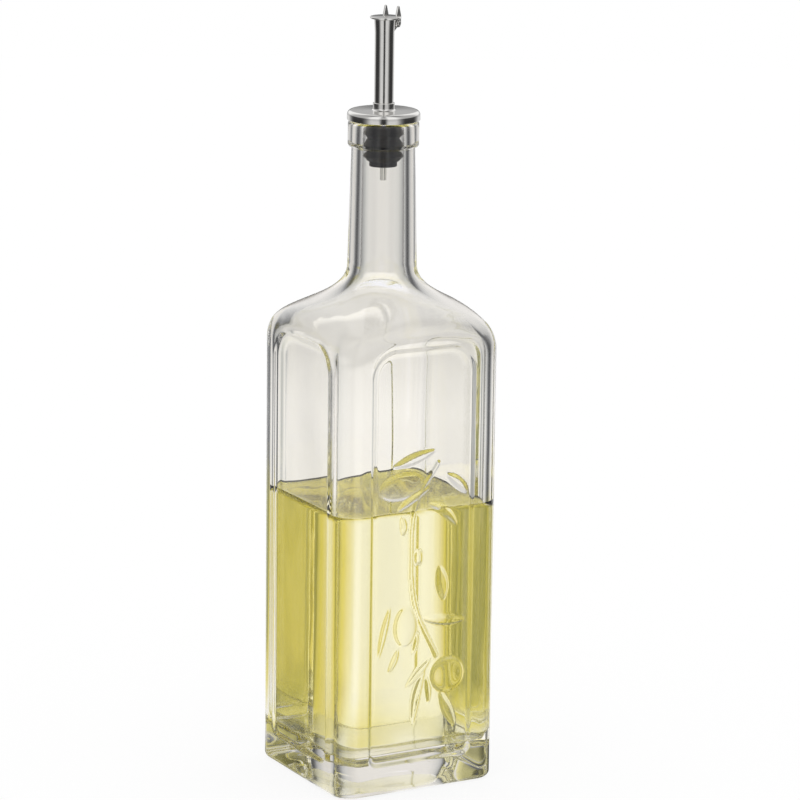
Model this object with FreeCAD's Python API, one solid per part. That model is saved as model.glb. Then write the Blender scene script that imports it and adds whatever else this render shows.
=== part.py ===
"""Square glass oil bottle with a steel pourer: a rubber stopper, a pouring tube and a hinged flap lid.

Millimetres. The origin is the middle of the base, +Z is up and the panel with the sprig faces -Y.
"""

import FreeCAD
import Part
import math
import os

# Glass body
body_width = 80.0
body_corner_radius = 9.8
heel_bevel = 1.8
wall_thickness = 4.4
base_thickness = 17.0
inner_corner_radius = 10.0
inner_foot_bevel = 6.0
punt_diameter = 58.0
punt_floor_diameter = 46.0
punt_depth = 2.2

# Shoulder, a slope with a round edge on the body and a round bend into the neck
shoulder_height = 204.8
shoulder_rise = 18.3
neck_bend_radius = 14.0
shoulder_wall = 5.0
shoulder_overhang = 1.0
shoulder_edge_radius = 9.0
edge_radius_share = 0.92

# Neck and lip
neck_foot_diameter = 30.6
neck_top_diameter = 27.8
neck_length = 60.9
lip_diameter = 31.2
lip_height = 11.2
lip_bevel = 0.8
mouth_diameter = 18.5
mouth_bevel = 0.7

# Arched panel sunk in each face
panel_width = 50.0
panel_bottom = 14.0
panel_top = 200.7
panel_depth = 1.2
panel_slope = 0.7
panel_arch_radius = 12.0
panel_foot_radius = 4.0
panel_count = 4

# Olive sprig raised in the front panel, placed from the middle of the panel's foot
sprig_height = 1.2
sprig_root = 0.6
sprig_tip_height = 0.15
stem_thickness = 1.8
stem_bend_radius = 20.0
stem_points = [(8.5, 47.0), (-2.5, 70.0), (-5.0, 92.0), (-3.0, 117.0), (8.0, 135.0)]
# across, up, turn in degrees, length, width
leaves = [
    (14.5, 21.5, 116.0, 18.0, 6.0),
    (4.0, 31.5, 96.0, 13.0, 4.0),
    (0.0, 29.0, 77.0, 27.0, 6.0),
    (-0.5, 40.0, 44.0, 18.0, 5.0),
    (-13.5, 47.0, 64.0, 12.0, 4.0),
    (-2.5, 54.0, 77.0, 10.5, 3.0),
    (-18.0, 60.5, 76.0, 25.0, 4.5),
    (11.5, 63.5, -8.0, 24.0, 6.5),
    (10.5, 80.0, 99.0, 16.0, 8.0),
    (-9.5, 108.0, 95.0, 9.0, 4.5),
    (11.0, 111.0, -39.0, 18.5, 5.5),
    (-4.0, 119.5, 30.0, 18.5, 5.0),
    (17.5, 124.5, -42.0, 15.0, 6.0),
    (-3.5, 138.0, 16.0, 22.0, 6.5),
]
# across, up, turn in degrees, length, width
olives = [
    (14.0, 37.5, 0.0, 17.0, 16.0),
    (-7.5, 62.0, 88.0, 18.0, 11.5),
    (-10.0, 126.0, 8.0, 22.5, 12.0),
]

# Oil
oil_level = 126.0
oil_gap = 0.05

# Rubber stopper
rib_clearance = 0.1
rib_pitch = 4.9
rib_count = 3
rib_first_drop = 5.1
stopper_core_diameter = 15.2
nub_diameter = 12.2
nub_length = 2.4
flange_diameter = 26.4
flange_thickness = 3.6

# Pouring tube and breather
tube_diameter = 8.5
tube_mouth_diameter = 9.2
tube_wall = 0.5
tube_rise = 44.6
tube_flare_length = 6.0
tube_fit = 0.03
air_tube_diameter = 2.8
air_tube_wall = 0.4
air_tube_azimuth = 60.0
air_tube_drop = 6.6
air_tube_below_mouth = 12.0
air_tube_gap = 0.1

# Steel cover disc
cover_diameter = 32.0
cover_sheet = 1.0
cover_edge_fall = 1.4
cover_lift = 0.3
collar_wall = 0.5
collar_height = 3.2

# Flap and its hinge
hinge_azimuth = 30.0
hinge_offset = 1.3
hinge_drop = 2.4
pin_diameter = 1.4
pin_fit = 0.02
pin_running_fit = 0.06
pin_head_diameter = 2.2
pin_head_height = 0.5
lug_width = 5.4
lug_round = 1.3
lug_foot_drop = 3.6
lug_bite = 1.5
flap_diameter = 13.6
flap_thickness = 0.9
flap_offset = 0.75
flap_bevel = 0.25
ear_thickness = 0.8
ear_gap = 0.1
ear_lobe_radius = 1.9
ear_tip_width = 0.7
ear_tip_height = 4.2
ear_tip_radius = 0.2
ear_root_radius = 1.0

# Heights and half sizes that follow from the sizes above
half_body = body_width / 2
neck_foot = shoulder_height + shoulder_rise
lip_foot = neck_foot + neck_length
lip_top = lip_foot + lip_height
stopper_foot = lip_top - rib_first_drop - rib_pitch * (rib_count - 0.5) - nub_length
tube_top = lip_top + tube_rise
pin_height = tube_top - hinge_drop
pin_reach = tube_mouth_diameter / 2 + hinge_offset

UP = FreeCAD.Vector(0, 0, 1)
ORIGIN = FreeCAD.Vector(0, 0, 0)


def corner_arc(before, corner, after, radius):
    """Start, middle and end of the arc that rounds a corner between two straight runs."""
    to_before = (before - corner).normalize()
    to_after = (after - corner).normalize()
    half_turn = to_before.getAngle(to_after) / 2
    reach = radius / math.tan(half_turn)
    inward = (to_before + to_after).normalize()
    middle = corner + inward * (radius / math.sin(half_turn) - radius)
    return corner + to_before * reach, middle, corner + to_after * reach


def run(corners, closed):
    """Lines and tangent arcs through (across, up, radius) corners in the XZ plane."""
    points = [FreeCAD.Vector(across, 0, up) for across, up, radius in corners]
    stops = []
    for index, corner in enumerate(corners):
        point = points[index]
        if corner[2] > 0:
            after = points[(index + 1) % len(points)]
            stops.append(corner_arc(points[index - 1], point, after, corner[2]))
        else:
            stops.append((point, None, point))
    edges = []
    for index, (start, middle, end) in enumerate(stops):
        if middle is not None:
            edges.append(Part.Arc(start, middle, end).toShape())
        if closed or index + 1 < len(stops):
            following = stops[(index + 1) % len(stops)][0]
            edges.append(Part.LineSegment(end, following).toShape())
    return edges


def turned(edges):
    """Solid of revolution about the bottle's axis from a closed half profile."""
    return Part.Face(Part.Wire(edges)).revolve(ORIGIN, UP, 360)


def plate(corners, thickness, middle):
    """Flat plate with a rounded outline in the XZ plane, centred on y = middle."""
    face = Part.Face(Part.Wire(run(corners, True)))
    face.translate(FreeCAD.Vector(0, middle - thickness / 2, 0))
    return face.extrude(FreeCAD.Vector(0, thickness, 0))


def rod(diameter, length, start, direction):
    """Round bar from a start point along a direction."""
    return Part.makeCylinder(diameter / 2, length, start, direction)


def square_column(half_side, corner_radius, foot, top):
    """Upright square column with round corners."""
    corners = [(-1, -1), (1, -1), (1, 1), (-1, 1)]
    profile = run([(u * half_side, v * half_side, corner_radius) for u, v in corners], True)
    face = Part.Face(Part.Wire(profile))
    face.rotate(ORIGIN, FreeCAD.Vector(1, 0, 0), -90)
    column = face.extrude(FreeCAD.Vector(0, 0, top - foot))
    column.translate(FreeCAD.Vector(0, 0, foot))
    return column


def corner_reach(half_side, corner_radius):
    """Distance from the axis to the outside of a round corner."""
    return (half_side - corner_radius) * math.sqrt(2) + corner_radius


def shoulder_edges(shape):
    """Edges where the round shoulder crosses the column, each between a round face and an upright one."""
    upright = (Part.Plane, Part.Cylinder)
    edges = []
    for edge in shape.Edges:
        sides = [isinstance(face.Surface, upright) for face in shape.ancestorsOfType(edge, Part.Face)]
        if panel_bottom < edge.CenterOfMass.z < neck_foot and sides.count(True) == 1:
            edges.append(edge)
    return edges


def edges_at(shape, level):
    """Edges that lie flat at one height."""
    tolerance = 0.001
    boxes = [(edge, edge.BoundBox) for edge in shape.Edges]
    return [edge for edge, box in boxes if abs(box.ZMin - level) < tolerance and box.ZLength < tolerance]


def outer_body():
    """Outside of the glass: a square column closed above by the round shoulder, with neck and lip."""
    foot_radius = corner_reach(half_body, body_corner_radius) + shoulder_overhang
    lip_radius = lip_diameter / 2
    profile = run([
        (0, 0, 0),
        (foot_radius, 0, 0),
        (foot_radius, shoulder_height, 0),
        (neck_foot_diameter / 2, neck_foot, neck_bend_radius),
        (neck_top_diameter / 2, lip_foot, 0),
        (lip_radius, lip_foot, 0),
        (lip_radius, lip_top - lip_bevel, 0),
        (lip_radius - lip_bevel, lip_top, 0),
        (0, lip_top, 0),
    ], True)
    body = turned(profile).common(square_column(half_body, body_corner_radius, 0, lip_top))
    edge_radius = min(shoulder_edge_radius, body_corner_radius * edge_radius_share)
    body = body.makeFillet(edge_radius, shoulder_edges(body))
    return body.makeChamfer(heel_bevel, edges_at(body, 0))


def inner_column(gap, top):
    """Square column inside the walls with a bevelled foot, drawn in by a gap."""
    floor = base_thickness + gap
    column = square_column(half_body - wall_thickness - gap, inner_corner_radius - gap, floor, top)
    return column.makeChamfer(inner_foot_bevel, edges_at(column, floor))


def cavity():
    """Inside of the glass, from the thick base up through the neck and mouth."""
    outer_foot = corner_reach(half_body, body_corner_radius) + shoulder_overhang
    steepness = shoulder_rise / (outer_foot - neck_foot_diameter / 2)
    drop = shoulder_wall * math.hypot(1, steepness)
    mouth_radius = mouth_diameter / 2
    neck_root = neck_foot - drop + (neck_foot_diameter / 2 - mouth_radius) * steepness
    above = lip_top + lip_height
    inside = turned(run([
        (0, base_thickness, 0),
        (outer_foot, base_thickness, 0),
        (outer_foot, shoulder_height - drop, 0),
        (mouth_radius, neck_root, 0),
        (mouth_radius, lip_top - mouth_bevel, 0),
        (mouth_radius + mouth_bevel, lip_top, 0),
        (mouth_radius + mouth_bevel, above, 0),
        (0, above, 0),
    ], True))
    return inside.common(inner_column(0, above))


def panel_outline(inset, depth):
    """Arched panel outline on the front face, drawn in by an inset at a depth below the face."""
    half_width = panel_width / 2 - inset
    foot = panel_bottom + inset
    top = panel_top - inset
    wire = Part.Wire(run([
        (-half_width, foot, panel_foot_radius - inset),
        (half_width, foot, panel_foot_radius - inset),
        (half_width, top, panel_arch_radius - inset),
        (-half_width, top, panel_arch_radius - inset),
    ], True))
    wire.translate(FreeCAD.Vector(0, depth - half_body, 0))
    return wire


def panel_cuts():
    """Sloping-sided pockets, one on each face."""
    mouth = panel_outline(-panel_slope, -panel_depth)
    floor = panel_outline(panel_slope, panel_depth)
    pocket = Part.makeLoft([mouth, floor], True, True)
    cuts = []
    for index in range(panel_count):
        cut = pocket.copy()
        cut.rotate(ORIGIN, UP, 360 / panel_count * index)
        cuts.append(cut)
    return cuts


def leaf_face(length, width):
    """Pointed leaf between two arcs."""
    tip = FreeCAD.Vector(length / 2, 0, 0)
    tail = FreeCAD.Vector(-length / 2, 0, 0)
    above = Part.Arc(tail, FreeCAD.Vector(0, 0, width / 2), tip).toShape()
    below = Part.Arc(tip, FreeCAD.Vector(0, 0, -width / 2), tail).toShape()
    return Part.Face(Part.Wire([above, below]))


def olive_face(length, width):
    """Oval olive."""
    oval = Part.Ellipse(ORIGIN, length / 2, width / 2).toShape()
    face = Part.Face(Part.Wire([oval]))
    face.rotate(ORIGIN, FreeCAD.Vector(1, 0, 0), 90)
    return face


def relief(face, length, across, up, turn):
    """One raised leaf or olive in its place on the front panel."""
    rise = sprig_height - sprig_tip_height
    crown_radius = ((length / 2) ** 2 + rise ** 2) / (2 * rise)
    face.translate(FreeCAD.Vector(0, sprig_root, 0))
    blank = face.extrude(FreeCAD.Vector(0, -sprig_root - sprig_height, 0))
    centre = FreeCAD.Vector(0, crown_radius - sprig_height, -length / 2)
    shape = blank.common(Part.makeCylinder(crown_radius, length, centre, UP))
    shape.rotate(ORIGIN, FreeCAD.Vector(0, -1, 0), turn)
    shape.translate(FreeCAD.Vector(across, panel_depth - half_body, panel_bottom + up))
    return shape


def stem():
    """Ridged stem that bends gently up the panel, half sunk in its floor."""
    corners = [(across, up, stem_bend_radius) for across, up in stem_points]
    corners[0] = (*stem_points[0], 0)
    corners[-1] = (*stem_points[-1], 0)
    path = Part.Wire(run(corners, False))
    direction = path.Edges[0].tangentAt(path.Edges[0].FirstParameter)
    start = FreeCAD.Vector(stem_points[0][0], 0, stem_points[0][1])
    outward = FreeCAD.Vector(0, -stem_thickness / 2, 0)
    sideways = outward.cross(direction)
    section = Part.makePolygon([start + v for v in (outward, sideways, -outward, -sideways, outward)])
    shape = path.makePipeShell([section], True, False)
    shape.translate(FreeCAD.Vector(0, panel_depth - half_body, panel_bottom))
    return shape


def sprig():
    """Stem, leaves and olives of the raised sprig."""
    pieces = [stem()]
    for across, up, turn, length, width in leaves:
        pieces.append(relief(leaf_face(length, width), length, across, up, turn))
    for across, up, turn, length, width in olives:
        pieces.append(relief(olive_face(length, width), length, across, up, turn))
    return pieces


def bottle():
    """Moulded glass bottle."""
    punt = Part.makeCone(punt_diameter / 2, punt_floor_diameter / 2, punt_depth)
    glass = outer_body().cut(panel_cuts())
    glass = glass.fuse(sprig())
    return glass.cut([cavity(), punt])


def oil():
    """Filling with a flat top, a hair clear of the glass."""
    return inner_column(oil_gap, oil_level)


def stopper():
    """Ribbed bung with a flange on the lip and a nub below, bored for the tube."""
    rib_radius = mouth_diameter / 2 - rib_clearance
    core_radius = stopper_core_diameter / 2
    bore_radius = tube_diameter / 2 + tube_fit
    half_pitch = rib_pitch / 2
    corners = [
        (bore_radius, lip_top + flange_thickness, 0),
        (flange_diameter / 2, lip_top + flange_thickness, 0),
        (flange_diameter / 2, lip_top, 0),
        (core_radius, lip_top, 0),
    ]
    for index in range(rib_count):
        tip = lip_top - rib_first_drop - rib_pitch * index
        corners += [(core_radius, tip + half_pitch, 0), (rib_radius, tip, 0)]
    corners += [
        (core_radius, stopper_foot + nub_length, 0),
        (nub_diameter / 2, stopper_foot + nub_length, 0),
        (nub_diameter / 2, stopper_foot, 0),
        (bore_radius, stopper_foot, 0),
    ]
    return turned(run(corners, True))


def cover_disc():
    """Pressed disc with a bevelled edge, a turned skirt and a collar drawn up round the tube."""
    outside = cover_diameter / 2
    inside = outside - cover_sheet
    hole = tube_diameter / 2 + tube_fit
    collar = hole + collar_wall
    under = lip_top + flange_thickness
    top = under + cover_sheet
    skirt = lip_top + cover_lift
    return turned(run([
        (hole, top + collar_height, 0),
        (collar, top + collar_height, 0),
        (collar, top, 0),
        (outside - cover_edge_fall, top, 0),
        (outside, top - cover_edge_fall, 0),
        (outside, skirt, 0),
        (inside, skirt, 0),
        (inside, under, 0),
        (hole, under, 0),
    ], True))


def tube_profile(offset):
    """Outer line of the pouring tube from its foot to its mouth, moved sideways by an offset."""
    return [
        (tube_diameter / 2 + offset, stopper_foot, 0),
        (tube_diameter / 2 + offset, tube_top - tube_flare_length, 0),
        (tube_mouth_diameter / 2 + offset, tube_top, 0),
    ]


def pour_tube():
    """Open tube, flared towards its mouth."""
    return turned(run(tube_profile(0) + tube_profile(-tube_wall)[::-1], True))


def air_tube():
    """Breather tube along the wall of the pouring tube."""
    foot = stopper_foot - air_tube_drop
    length = tube_top - air_tube_below_mouth - foot
    offset = tube_diameter / 2 - tube_wall - air_tube_gap - air_tube_diameter / 2
    angle = math.radians(air_tube_azimuth)
    start = FreeCAD.Vector(offset * math.cos(angle), offset * math.sin(angle), foot)
    outside = rod(air_tube_diameter, length, start, UP)
    return outside.cut(rod(air_tube_diameter - 2 * air_tube_wall, length, start, UP))


def pin_bar(diameter, length):
    """Round bar centred on the hinge axis."""
    start = FreeCAD.Vector(pin_reach, -length / 2, pin_height)
    return rod(diameter, length, start, FreeCAD.Vector(0, 1, 0))


def hinge_lug():
    """Lug brazed to the back of the tube, rounded about the pin."""
    back = tube_mouth_diameter / 2 - lug_bite
    nose = pin_reach + lug_round
    lug = plate([
        (back, pin_height + lug_round, 0),
        (nose, pin_height + lug_round, lug_round * edge_radius_share),
        (nose, pin_height - lug_round, lug_round * edge_radius_share),
        (back, pin_height - lug_foot_drop, 0),
    ], lug_width, 0)
    outline = tube_profile(tube_fit)
    around = turned(run([(0, tube_top, 0), (0, stopper_foot, 0)] + outline, True))
    return lug.cut([around, pin_bar(pin_diameter + 2 * pin_fit, lug_width * 2)])


def hinge_pin():
    """Pin with a low flat head riveted over at each end."""
    span = lug_width + 2 * (ear_gap + ear_thickness + ear_gap)
    ends = pin_bar(pin_head_diameter, span + 2 * pin_head_height)
    middle = pin_bar(pin_head_diameter * 2, span)
    return ends.cut(middle).fuse(pin_bar(pin_diameter, span)).removeSplitter()


def flap_lid():
    """Round flap on the tube's mouth, with two pointed ears that hang on the pin."""
    radius = flap_diameter / 2
    lid = turned(run([
        (0, tube_top, 0),
        (radius, tube_top, 0),
        (radius, tube_top + flap_thickness - flap_bevel, 0),
        (radius - flap_bevel, tube_top + flap_thickness, 0),
        (0, tube_top + flap_thickness, 0),
    ], True))
    lid.translate(FreeCAD.Vector(flap_offset, 0, 0))
    lid_top = tube_top + flap_thickness
    outline = [
        (pin_reach - ear_lobe_radius, pin_height - ear_lobe_radius, ear_lobe_radius * edge_radius_share),
        (pin_reach + ear_lobe_radius, pin_height - ear_lobe_radius, ear_lobe_radius * edge_radius_share),
        (pin_reach + ear_lobe_radius, lid_top, ear_root_radius),
        (pin_reach + ear_tip_width / 2, lid_top + ear_tip_height, ear_tip_radius),
        (pin_reach - ear_tip_width / 2, lid_top + ear_tip_height, ear_tip_radius),
        (pin_reach - ear_lobe_radius, lid_top, ear_root_radius),
    ]
    ear_middle = lug_width / 2 + ear_gap + ear_thickness / 2
    ears = [plate(outline, ear_thickness, side * ear_middle) for side in (-1, 1)]
    hole = pin_bar(pin_diameter + 2 * pin_running_fit, flap_diameter)
    return lid.fuse(ears).cut(hole).removeSplitter()


def on_hinge_side(shape):
    """Turns a piece made along +X to the side of the tube where the hinge is."""
    shape.rotate(ORIGIN, UP, hinge_azimuth)
    return shape


pieces = {
    "bottle": bottle(),
    "oil": oil(),
    "stopper": stopper(),
    "cover_disc": cover_disc(),
    "pour_tube": pour_tube(),
    "air_tube": air_tube(),
    "hinge_lug": on_hinge_side(hinge_lug()),
    "hinge_pin": on_hinge_side(hinge_pin()),
    "flap_lid": on_hinge_side(flap_lid()),
}

os.makedirs("parts", exist_ok=True)
for name, shape in pieces.items():
    solid = shape.Solids[0]
    solid.exportStep(f"parts/{name}.step")
    print(name, len(shape.Solids), shape.isValid(), round(shape.Volume, 2), shape.BoundBox)
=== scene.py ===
import bpy
import math
import numpy as np
from mathutils import Matrix, Vector


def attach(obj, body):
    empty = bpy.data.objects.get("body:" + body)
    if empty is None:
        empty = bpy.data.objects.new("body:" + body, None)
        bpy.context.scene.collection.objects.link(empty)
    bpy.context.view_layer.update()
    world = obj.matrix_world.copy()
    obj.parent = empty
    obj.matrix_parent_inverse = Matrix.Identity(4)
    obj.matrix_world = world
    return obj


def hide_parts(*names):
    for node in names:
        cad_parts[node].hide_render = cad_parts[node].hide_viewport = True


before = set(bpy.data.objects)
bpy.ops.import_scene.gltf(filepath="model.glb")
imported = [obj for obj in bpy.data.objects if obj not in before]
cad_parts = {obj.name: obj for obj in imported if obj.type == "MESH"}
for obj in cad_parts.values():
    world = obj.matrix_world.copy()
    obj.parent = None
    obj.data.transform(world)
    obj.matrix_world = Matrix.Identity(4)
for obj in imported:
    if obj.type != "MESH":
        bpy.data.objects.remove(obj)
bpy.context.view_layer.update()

print("frame loaded:", sorted(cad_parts))
scene = bpy.context.scene
mm = 0.001
turnedSharp = 40  # degrees between faces that stay a sharp edge
hingeSharp = 35


# Shape helpers, in millimetres
def smoothStep(low, high, value):
    t = np.clip((value - low) / (high - low), 0.0, 1.0)
    return t * t * (3.0 - 2.0 * t)


def smoothMin(a, b, reach):
    h = np.maximum(reach - np.abs(a - b), 0.0) / reach
    return np.minimum(a, b) - h * h * reach * 0.25


def roundedLine(corners, closed, arcStep):
    points = [np.array(corner[:2], float) for corner in corners]
    count = len(points)
    line = []
    for index, corner in enumerate(corners):
        radius = corner[2]
        inner = closed or 0 < index < count - 1
        if radius <= 0 or not inner:
            line.append(points[index])
            continue
        before = points[index - 1] - points[index]
        after = points[(index + 1) % count] - points[index]
        before = before / np.linalg.norm(before)
        after = after / np.linalg.norm(after)
        half = math.acos(float(np.clip(before @ after, -1, 1))) / 2
        reach = radius / math.tan(half)
        inward = (before + after) / np.linalg.norm(before + after)
        middle = points[index] + inward * radius / math.sin(half)
        start = points[index] + before * reach - middle
        end = points[index] + after * reach - middle
        turn = math.pi - 2 * half
        steps = max(2, int(math.ceil(math.degrees(turn) / arcStep)))
        for step in range(steps + 1):
            share = step / steps
            arm = start * math.sin((1 - share) * turn) + end * math.sin(share * turn)
            line.append(middle + arm / math.sin(turn))
    return np.array(line)


def gridFaces(rows, count, closedRows):
    faces = []
    for row in range(rows if closedRows else rows - 1):
        a = row * count
        b = ((row + 1) % rows) * count
        for k in range(count):
            m = (k + 1) % count
            faces.append((a + k, a + m, b + m, b + k))
    if not closedRows:  # caps on the first and the last row
        last = (rows - 1) * count
        faces.append(tuple(range(count))[::-1])
        faces.append(tuple(range(last, last + count)))
    return faces


def lathe(profile, count, closed):
    angles = np.arange(count) * (2 * math.pi / count)
    around = np.stack([np.cos(angles), np.sin(angles)], 1)
    rings = [np.column_stack([around * radius, np.full(count, height)]) for radius, height in profile]
    return np.concatenate(rings), gridFaces(len(profile), count, closed)


def addPiece(name, points, faces, material, body, node, sharpAngle=None):
    mesh = bpy.data.meshes.new(name)
    mesh.from_pydata((np.asarray(points) * mm).tolist(), [], faces)
    mesh.polygons.foreach_set("use_smooth", np.ones(len(mesh.polygons), bool))
    if sharpAngle is not None:
        mesh.set_sharp_from_angle(angle=math.radians(sharpAngle))
    mesh.update()
    mesh.materials.append(material)
    piece = bpy.data.objects.new(name, mesh)
    scene.collection.objects.link(piece)
    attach(piece, body)
    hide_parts(node)
    print("piece", name, len(mesh.polygons), "faces")


# Shader helpers
def newMaterial(name):
    material = bpy.data.materials.new(name)
    material.use_nodes = True
    tree = material.node_tree
    return material, tree, tree.nodes["Principled BSDF"]


def feed(tree, socket, value):
    if isinstance(value, bpy.types.NodeSocket):
        tree.links.new(value, socket)
    else:
        socket.default_value = value


def mathNode(tree, operation, a, b=None, clamp=False):
    node = tree.nodes.new("ShaderNodeMath")
    node.operation = operation
    node.use_clamp = clamp
    for socket, value in zip(node.inputs, (a, b)):
        if value is not None:
            feed(tree, socket, value)
    return node.outputs[0]


def vectorNode(tree, operation, vector, scale=None, other=None):
    node = tree.nodes.new("ShaderNodeVectorMath")
    node.operation = operation
    tree.links.new(vector, node.inputs[0])
    if other is not None:
        tree.links.new(other, node.inputs[1])
    if scale is not None:
        feed(tree, node.inputs["Scale"], scale)
    return node.outputs["Value" if operation == "LENGTH" else "Vector"]


def mapRange(tree, value, fromLow, fromHigh, toLow, toHigh, smooth=True):
    node = tree.nodes.new("ShaderNodeMapRange")
    if smooth:
        node.interpolation_type = "SMOOTHSTEP"
    tree.links.new(value, node.inputs["Value"])
    node.inputs["From Min"].default_value = fromLow
    node.inputs["From Max"].default_value = fromHigh
    node.inputs["To Min"].default_value = toLow
    node.inputs["To Max"].default_value = toHigh
    return node.outputs["Result"]


def mixColor(tree, factor, a, b):
    node = tree.nodes.new("ShaderNodeMix")
    node.data_type = "RGBA"
    tree.links.new(factor, node.inputs[0])
    for socket, value in ((node.inputs[6], a), (node.inputs[7], b)):
        feed(tree, socket, (value, value, value, 1) if isinstance(value, float) else value)
    return node.outputs[2]


def mixShader(tree, factor, a, b):
    node = tree.nodes.new("ShaderNodeMixShader")
    for socket, value in zip(node.inputs, (factor, a, b)):
        tree.links.new(value, socket)
    return node.outputs[0]


def colorRamp(tree, value, stops):
    ramp = tree.nodes.new("ShaderNodeValToRGB")
    elements = ramp.color_ramp.elements
    elements.remove(elements[1])
    for index, (position, color) in enumerate(stops):
        element = elements[0] if index == 0 else elements.new(position)
        element.position = position
        element.color = (*color, 1)
    tree.links.new(value, ramp.inputs["Fac"])
    return ramp.outputs["Color"]


def newGroup(name, inputs, outputs):
    group = bpy.data.node_groups.new(name, "ShaderNodeTree")
    for label, kind, value in inputs:
        socket = group.interface.new_socket(label, in_out="INPUT", socket_type=kind)
        socket.default_value = value
    for label, kind in outputs:
        group.interface.new_socket(label, in_out="OUTPUT", socket_type=kind)
    return group, group.nodes.new("NodeGroupInput"), group.nodes.new("NodeGroupOutput")


def useGroup(tree, group, **values):
    node = tree.nodes.new("ShaderNodeGroup")
    node.node_tree = group
    for label, value in values.items():
        node.inputs[label].default_value = value
    return node


# Effects that several materials share
smudgeLook = {"detail": 5.0, "roughness": 0.62, "spread": (0.38, 0.68)}


def makeSmudges():
    group, source, sink = newGroup(
        "smudges",
        [("Scale", "NodeSocketFloat", 40.0), ("Low", "NodeSocketFloat", 0.0),
         ("High", "NodeSocketFloat", 0.1)],
        [("Roughness", "NodeSocketFloat")],
    )
    place = group.nodes.new("ShaderNodeTexCoord")
    noise = group.nodes.new("ShaderNodeTexNoise")
    noise.inputs["Detail"].default_value = smudgeLook["detail"]
    noise.inputs["Roughness"].default_value = smudgeLook["roughness"]
    group.links.new(place.outputs["Object"], noise.inputs["Vector"])
    group.links.new(source.outputs["Scale"], noise.inputs["Scale"])
    spread = mapRange(group, noise.outputs["Fac"], *smudgeLook["spread"], 0.0, 1.0)
    mix = group.nodes.new("ShaderNodeMix")
    group.links.new(spread, mix.inputs["Factor"])
    group.links.new(source.outputs["Low"], mix.inputs["A"])
    group.links.new(source.outputs["High"], mix.inputs["B"])
    group.links.new(mix.outputs["Result"], sink.inputs["Roughness"])
    return group


def makeSurfaceWave():
    group, source, sink = newGroup(
        "surfaceWave",
        [("Scale", "NodeSocketFloat", 30.0), ("Height", "NodeSocketFloat", 0.0001),
         ("Detail", "NodeSocketFloat", 1.0)],
        [("Normal", "NodeSocketVector")],
    )
    place = group.nodes.new("ShaderNodeTexCoord")
    noise = group.nodes.new("ShaderNodeTexNoise")
    group.links.new(place.outputs["Object"], noise.inputs["Vector"])
    group.links.new(source.outputs["Scale"], noise.inputs["Scale"])
    group.links.new(source.outputs["Detail"], noise.inputs["Detail"])
    bump = group.nodes.new("ShaderNodeBump")
    bump.inputs["Strength"].default_value = 1.0
    group.links.new(noise.outputs["Fac"], bump.inputs["Height"])
    group.links.new(source.outputs["Height"], bump.inputs["Distance"])
    group.links.new(bump.outputs["Normal"], sink.inputs["Normal"])
    return group


smudges = makeSmudges()
surfaceWave = makeSurfaceWave()


def addFinish(tree, shader, look):
    rough = useGroup(tree, smudges, Scale=look["smudgeScale"], Low=look["smudgeLow"],
                     High=look["smudgeHigh"])
    tree.links.new(rough.outputs["Roughness"], shader.inputs["Roughness"])
    wave = useGroup(tree, surfaceWave, Scale=look["waveScale"], Height=look["waveHeight"],
                    Detail=look["waveDetail"])
    tree.links.new(wave.outputs["Normal"], shader.inputs["Normal"])


# Materials
glassLook = {"color": (0.985, 0.995, 0.99, 1), "ior": 1.5,
             "smudgeScale": 55.0, "smudgeLow": 0.0, "smudgeHigh": 0.012,
             "waveScale": 38.0, "waveHeight": 0.00018, "waveDetail": 1.0}


def makeGlass():
    material, tree, shader = newMaterial("clearGlass")
    shader.inputs["Base Color"].default_value = glassLook["color"]
    shader.inputs["IOR"].default_value = glassLook["ior"]
    shader.inputs["Transmission Weight"].default_value = 1.0
    addFinish(tree, shader, glassLook)
    return material


oilLook = {"color": (1.0, 1.0, 0.99, 1), "ior": 1.47, "absorb": (0.98, 0.89, 0.01, 1), "density": 7.0}


def makeOil():
    material, tree, shader = newMaterial("oliveOil")
    shader.inputs["Base Color"].default_value = oilLook["color"]
    shader.inputs["IOR"].default_value = oilLook["ior"]
    shader.inputs["Transmission Weight"].default_value = 1.0
    shader.inputs["Roughness"].default_value = 0.0
    inside = tree.nodes.new("ShaderNodeVolumeAbsorption")
    inside.inputs["Color"].default_value = oilLook["absorb"]
    inside.inputs["Density"].default_value = oilLook["density"]
    tree.links.new(inside.outputs["Volume"], tree.nodes["Material Output"].inputs["Volume"])
    return material


steelLook = {"color": (0.74, 0.73, 0.71, 1), "smudgeScale": 160.0, "smudgeLow": 0.06, "smudgeHigh": 0.13,
             "waveScale": 420.0, "waveHeight": 0.00002, "waveDetail": 3.0}


def makeSteel():
    material, tree, shader = newMaterial("polishedSteel")
    shader.inputs["Base Color"].default_value = steelLook["color"]
    shader.inputs["Metallic"].default_value = 1.0
    addFinish(tree, shader, steelLook)
    return material


rubberLook = {"color": (0.006, 0.006, 0.011, 1), "specular": 0.12,
              "smudgeScale": 300.0, "smudgeLow": 0.38, "smudgeHigh": 0.6,
              "waveScale": 2500.0, "waveHeight": 0.00004, "waveDetail": 2.0}


def makeRubber():
    material, tree, shader = newMaterial("blackRubber")
    shader.inputs["Base Color"].default_value = rubberLook["color"]
    shader.inputs["Specular IOR Level"].default_value = rubberLook["specular"]
    addFinish(tree, shader, rubberLook)
    return material


clearGlass = makeGlass()
oliveOil = makeOil()
polishedSteel = makeSteel()
blackRubber = makeRubber()
print("materials made")

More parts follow.
